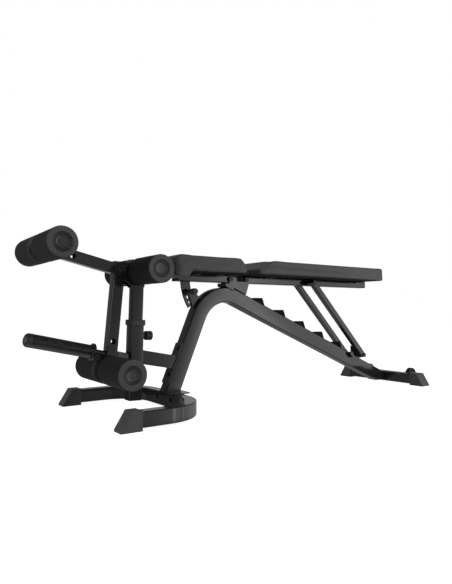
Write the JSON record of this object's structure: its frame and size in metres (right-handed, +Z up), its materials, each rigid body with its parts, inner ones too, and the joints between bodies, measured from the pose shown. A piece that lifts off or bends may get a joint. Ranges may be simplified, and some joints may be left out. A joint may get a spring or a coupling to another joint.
{
  "type": "decline sit up bench",
  "caption": "Adjustable sit up bench on one bent frame tube: hinged seat, ladder-set backrest, foam leg rollers and a swinging lever with a weight horn.",
  "frame": {"origin": "centre of the whole bench's outline on the floor, midway between the weight horn's tip and the transport wheels' back", "axes": "+X from the leg developer towards the head end, +Z up, +Y away from the side that has the seat's lock knob"},
  "size_m": [1.8834, 0.58, 0.616],
  "materials": {
    "frame_paint": "satin black powder coat",
    "dark_hardware": "black oxide",
    "dark_steel": "gloss black enamel",
    "rubber_grey": "moulded rubber",
    "black_plastic": "moulded plastic",
    "catch_black": "matte black",
    "foam_black": "closed-cell foam skin",
    "pad_vinyl": "grained vinyl"
  },
  "bodies": {
    "frame": {"main_frame": "frame_paint", "front_base": "frame_paint", "front_foot_near": "rubber_grey", "front_foot_far": "rubber_grey", "foot_plate": "frame_paint", "frame_bolts": "dark_hardware", "rear_crossbar": "frame_paint", "rear_foot_near": "rubber_grey", "rear_foot_far": "rubber_grey", "wheel_brackets": "frame_paint", "wheel_axles": "dark_hardware", "pivot_bracket": "frame_paint", "rail_pivot_bolts": "dark_hardware", "catch_ladder": "catch_black", "attachment_plate": "frame_paint", "leg_beam": "frame_paint", "post_sleeve": "frame_paint", "sleeve_collar": "black_plastic", "pin_housings": "dark_hardware", "seat_pin_bracket": "frame_paint"},
    "wheel_near_body": {"wheel_near": "rubber_grey"},
    "wheel_far_body": {"wheel_far": "rubber_grey"},
    "post_pin": {"post_pin_knob": "black_plastic"},
    "seat_pin": {"seat_pin_knob": "black_plastic"},
    "leg_post_body": {"leg_post": "frame_paint", "clevis_plates": "frame_paint", "lever_pivot_bolt": "dark_hardware"},
    "knee_roller": {"knee_roller_bar": "dark_steel", "knee_roller_plugs": "black_plastic", "knee_foam_near": "foam_black", "knee_foam_far": "foam_black"},
    "lever": {"lever_arm": "frame_paint", "curl_arm": "frame_paint", "lever_tube_caps": "black_plastic", "horn_peg": "dark_steel", "horn_tube": "dark_steel", "horn_cap": "black_plastic", "bumper": "rubber_grey"},
    "lower_roller": {"lower_roller_bar": "dark_steel", "lower_roller_plugs": "black_plastic", "lower_foam_near": "foam_black", "lower_foam_far": "foam_black"},
    "curl_roller": {"curl_roller_bar": "dark_steel", "curl_roller_plugs": "black_plastic", "curl_foam_near": "foam_black", "curl_foam_far": "foam_black"},
    "seat": {"seat_rail": "frame_paint", "seat_rail_cap": "black_plastic", "seat_pad": "pad_vinyl", "seat_arc_plate": "frame_paint", "seat_pad_tabs": "frame_paint"},
    "backrest": {"back_rail": "frame_paint", "back_rail_cap": "black_plastic", "back_pad": "pad_vinyl", "back_pad_tabs": "frame_paint", "strut_hinge_tube": "frame_paint"},
    "strut": {"strut_tubes": "frame_paint", "strut_hinge_pin": "dark_hardware", "strut_foot_plates": "frame_paint", "strut_foot_bar": "dark_hardware"}
  },
  "joints": [
    {"name": "wheel_near_spin", "type": "hinge", "parent": "frame", "child": "wheel_near_body", "pos_m": [0.91073, -0.129, 0.042], "axis": [0, 1, 0], "continuous": true},
    {"name": "wheel_far_spin", "type": "hinge", "parent": "frame", "child": "wheel_far_body", "pos_m": [0.91073, 0.129, 0.042], "axis": [0, 1, 0], "continuous": true},
    {"name": "post_height", "type": "slide", "parent": "frame", "child": "leg_post_body", "axis": [0.0284, 0, 0.9996], "range_m": [-0.06, 0.09]},
    {"name": "post_pin_pull", "type": "slide", "parent": "frame", "child": "post_pin", "axis": [0.9996, 0, -0.0284], "range_m": [0, 0.012], "stiffness_N_per_m": 700, "springref_m": -0.006},
    {"name": "seat_pin_pull", "type": "slide", "parent": "frame", "child": "seat_pin", "axis": [0, -1, 0], "range_m": [0, 0.012], "stiffness_N_per_m": 700, "springref_m": -0.006},
    {"name": "lever_swing", "type": "hinge", "parent": "leg_post_body", "child": "lever", "pos_m": [-0.62126, 0, 0.5109], "axis": [0, 1, 0], "range_deg": [0, 95]},
    {"name": "knee_roller_spin", "type": "hinge", "parent": "leg_post_body", "child": "knee_roller", "pos_m": [-0.54734, 0, 0.5035], "axis": [0, 1, 0], "continuous": true},
    {"name": "lower_roller_spin", "type": "hinge", "parent": "lever", "child": "lower_roller", "pos_m": [-0.65341, 0, 0.1556], "axis": [0, 1, 0], "continuous": true},
    {"name": "curl_roller_spin", "type": "hinge", "parent": "lever", "child": "curl_roller", "pos_m": [-0.87887, 0, 0.5675], "axis": [0, 1, 0], "continuous": true},
    {"name": "seat_tilt", "type": "hinge", "parent": "frame", "child": "seat", "pos_m": [-0.14727, 0, 0.49], "axis": [0, 1, 0], "range_deg": [0, 12]},
    {"name": "back_recline", "type": "hinge", "parent": "frame", "child": "backrest", "pos_m": [-0.06727, 0, 0.49], "axis": [0, -1, 0], "range_deg": [0, 80]},
    {"name": "strut_swing", "type": "hinge", "parent": "backrest", "child": "strut", "pos_m": [0.29473, 0, 0.488], "axis": [0, -1, 0], "range_deg": [-110, 0]}
  ],
  "couplings": [
    {"joint": "strut_swing", "follows": "back_recline", "ratio": -1.37}
  ]
}
